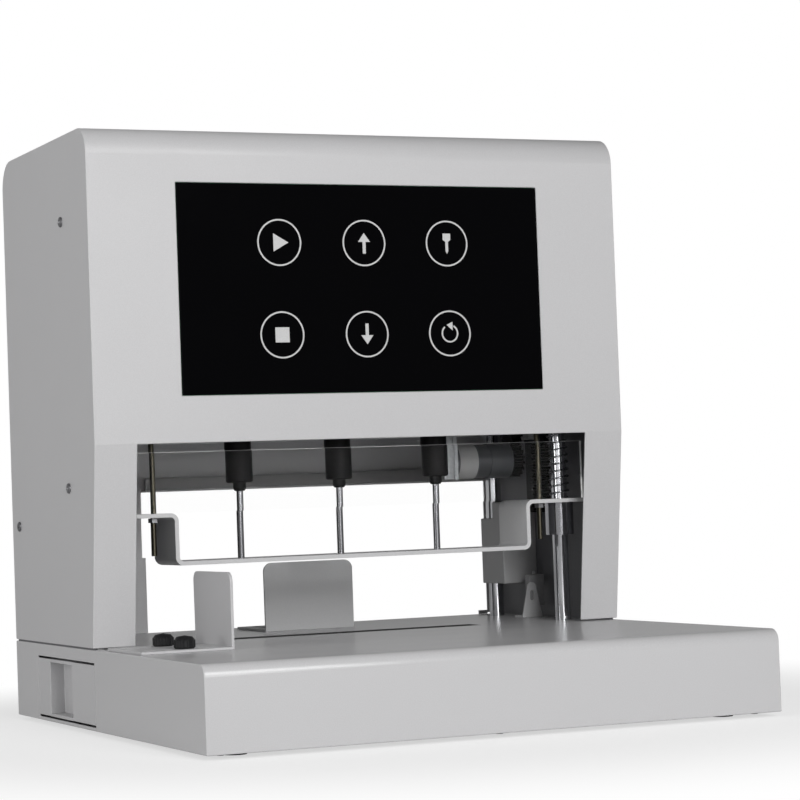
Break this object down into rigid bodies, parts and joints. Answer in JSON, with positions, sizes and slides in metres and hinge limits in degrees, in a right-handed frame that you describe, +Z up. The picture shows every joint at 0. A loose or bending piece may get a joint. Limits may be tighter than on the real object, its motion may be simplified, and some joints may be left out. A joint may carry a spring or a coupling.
{
  "type": "automatic three hole punch",
  "caption": "Desk-top paper drill: a sheet metal housing with a touch panel, a press bar that clamps the stack, hollow bits on a lifting head and a chip drawer in the base.",
  "frame": {"origin": "on the floor under the middle of the base", "axes": "+Z up, front towards -Y, +X to the right of someone in front"},
  "size_m": [0.4232, 0.43, 0.43],
  "materials": {
    "grey_paint": "fine textured light grey powder coat",
    "frame_paint": "dark grey painted steel plate",
    "bar_paint": "satin light grey coat",
    "rubber": "matt black rubber",
    "black_steel": "blackened steel",
    "bright_steel": "ground and hard chromed",
    "zinc": "zinc plated sheet",
    "spring_steel": "oiled spring wire",
    "cast_aluminium": "machined aluminium plate",
    "motor_shell": "dark painted motor can",
    "gear_motor": "nickel plated can",
    "bronze": "machined bronze",
    "black_plastic": "fine grained black plastic",
    "panel_glass": "black back-printed glass",
    "board_green": "solder mask",
    "clear_acrylic": "polished clear acrylic"
  },
  "bodies": {
    "frame": {"base_shell": "grey_paint", "bottom_plate": "frame_paint", "feet": "rubber", "bed_plate": "frame_paint", "die_strip": "black_steel", "drawer_runners": "zinc", "stop_nuts": "bright_steel", "gauge_screws": "bright_steel", "housing_cover": "grey_paint", "rear_cover": "grey_paint", "side_frames": "frame_paint", "top_plate": "frame_paint", "guide_posts": "bright_steel", "post_brackets": "cast_aluminium", "lift_racks": "black_steel", "touch_panel": "panel_glass", "control_board": "board_green", "power_supply": "cast_aluminium", "power_inlet": "black_plastic", "side_screws": "bright_steel", "sensor_bracket": "zinc", "limit_switch": "black_plastic"},
    "head": {"head_plate": "cast_aluminium", "gear_plate": "cast_aluminium", "gear_plate_pillars": "bright_steel", "spindle_bearings": "bright_steel", "guide_bushings": "black_plastic", "drill_motor": "motor_shell", "lift_motor": "gear_motor", "lift_motor_bracket": "zinc", "shaft_blocks": "cast_aluminium", "hanger_rods": "bronze", "hanger_nuts": "bright_steel", "left_press_spring": "spring_steel", "right_press_spring": "spring_steel"},
    "press": {"press_bar": "bar_paint", "press_bushings": "black_steel", "press_guard": "clear_acrylic"},
    "left_spindle": {"left_spindle": "black_steel", "left_spindle_gear": "bronze", "left_bit": "bright_steel"},
    "middle_spindle": {"middle_spindle": "black_steel", "middle_spindle_gear": "bronze", "middle_bit": "bright_steel"},
    "right_spindle": {"right_spindle": "black_steel", "right_spindle_gear": "bronze", "right_bit": "bright_steel"},
    "left_idler": {"left_idler_gear": "bronze"},
    "right_idler": {"right_idler_gear": "bronze"},
    "drill_pinion": {"motor_pinion": "bronze"},
    "lift_shaft": {"lift_shaft": "bright_steel", "lift_gears": "bronze"},
    "lift_motor_gear": {"lift_motor_gear": "bronze"},
    "drawer": {"drawer_tray": "zinc", "drawer_front": "grey_paint"},
    "side_stop": {"side_stop": "grey_paint"},
    "front_thumb_screw": {"front_thumb_screw": "black_plastic"},
    "rear_thumb_screw": {"rear_thumb_screw": "black_plastic"},
    "back_gauge": {"back_gauge": "zinc"},
    "rocker": {"rocker": "black_plastic"}
  },
  "joints": [
    {"name": "head_lift", "type": "slide", "parent": "frame", "child": "head", "axis": [0, 0, -1], "range_m": [0, 0.0561]},
    {"name": "press_slide", "type": "slide", "parent": "head", "child": "press", "axis": [0, 0, 1], "range_m": [0, 0.047], "stiffness_N_per_m": 800, "springref_m": -0.02, "deforming": ["left_press_spring", "right_press_spring"]},
    {"name": "middle_spindle_spin", "type": "hinge", "parent": "head", "child": "middle_spindle", "pos_m": [0, 0.06, 0.256], "axis": [0, 0, 1], "continuous": true},
    {"name": "left_spindle_spin", "type": "hinge", "parent": "head", "child": "left_spindle", "pos_m": [-0.08, 0.06, 0.256], "axis": [0, 0, 1], "continuous": true},
    {"name": "right_spindle_spin", "type": "hinge", "parent": "head", "child": "right_spindle", "pos_m": [0.08, 0.06, 0.256], "axis": [0, 0, 1], "continuous": true},
    {"name": "left_idler_spin", "type": "hinge", "parent": "head", "child": "left_idler", "pos_m": [-0.04, 0.06, 0.256], "axis": [0, 0, 1], "continuous": true},
    {"name": "right_idler_spin", "type": "hinge", "parent": "head", "child": "right_idler", "pos_m": [0.04, 0.06, 0.256], "axis": [0, 0, 1], "continuous": true},
    {"name": "drill_motor_spin", "type": "hinge", "parent": "head", "child": "drill_pinion", "pos_m": [0, 0.092, 0.256], "axis": [0, 0, 1], "continuous": true},
    {"name": "lift_shaft_turn", "type": "hinge", "parent": "head", "child": "lift_shaft", "pos_m": [0, 0.1, 0.21], "axis": [1, 0, 0], "range_deg": [0, 270]},
    {"name": "lift_motor_turn", "type": "hinge", "parent": "head", "child": "lift_motor_gear", "pos_m": [0.167, 0.1, 0.186], "axis": [1, 0, 0], "range_deg": [-270, 0]},
    {"name": "drawer_slide", "type": "slide", "parent": "frame", "child": "drawer", "axis": [-1, 0, 0], "range_m": [0, 0.24]},
    {"name": "side_stop_slide", "type": "slide", "parent": "frame", "child": "side_stop", "axis": [1, 0, 0], "range_m": [-0.005, 0.027]},
    {"name": "front_thumb_screw_turn", "type": "hinge", "parent": "frame", "child": "front_thumb_screw", "pos_m": [-0.169, -0.062, 0.066], "axis": [0, 0, 1], "range_deg": [0, 360]},
    {"name": "rear_thumb_screw_turn", "type": "hinge", "parent": "frame", "child": "rear_thumb_screw", "pos_m": [-0.169, -0.017, 0.066], "axis": [0, 0, 1], "range_deg": [0, 360]},
    {"name": "back_gauge_slide", "type": "slide", "parent": "frame", "child": "back_gauge", "axis": [0, 1, 0], "range_m": [-0.041, 0.006]},
    {"name": "rocker_tilt", "type": "hinge", "parent": "frame", "child": "rocker", "pos_m": [-0.15425, 0.2054, 0.144], "axis": [1, 0, 0], "range_deg": [-16, 0]}
  ],
  "couplings": [
    {"joint": "left_spindle_spin", "follows": "middle_spindle_spin", "ratio": 1},
    {"joint": "right_spindle_spin", "follows": "middle_spindle_spin", "ratio": 1},
    {"joint": "left_idler_spin", "follows": "middle_spindle_spin", "ratio": -1},
    {"joint": "right_idler_spin", "follows": "middle_spindle_spin", "ratio": -1},
    {"joint": "drill_motor_spin", "follows": "middle_spindle_spin", "ratio": -1.6667},
    {"joint": "lift_shaft_turn", "follows": "head_lift", "rad_per_m": 83.333},
    {"joint": "lift_motor_turn", "follows": "head_lift", "rad_per_m": -83.333}
  ]
}
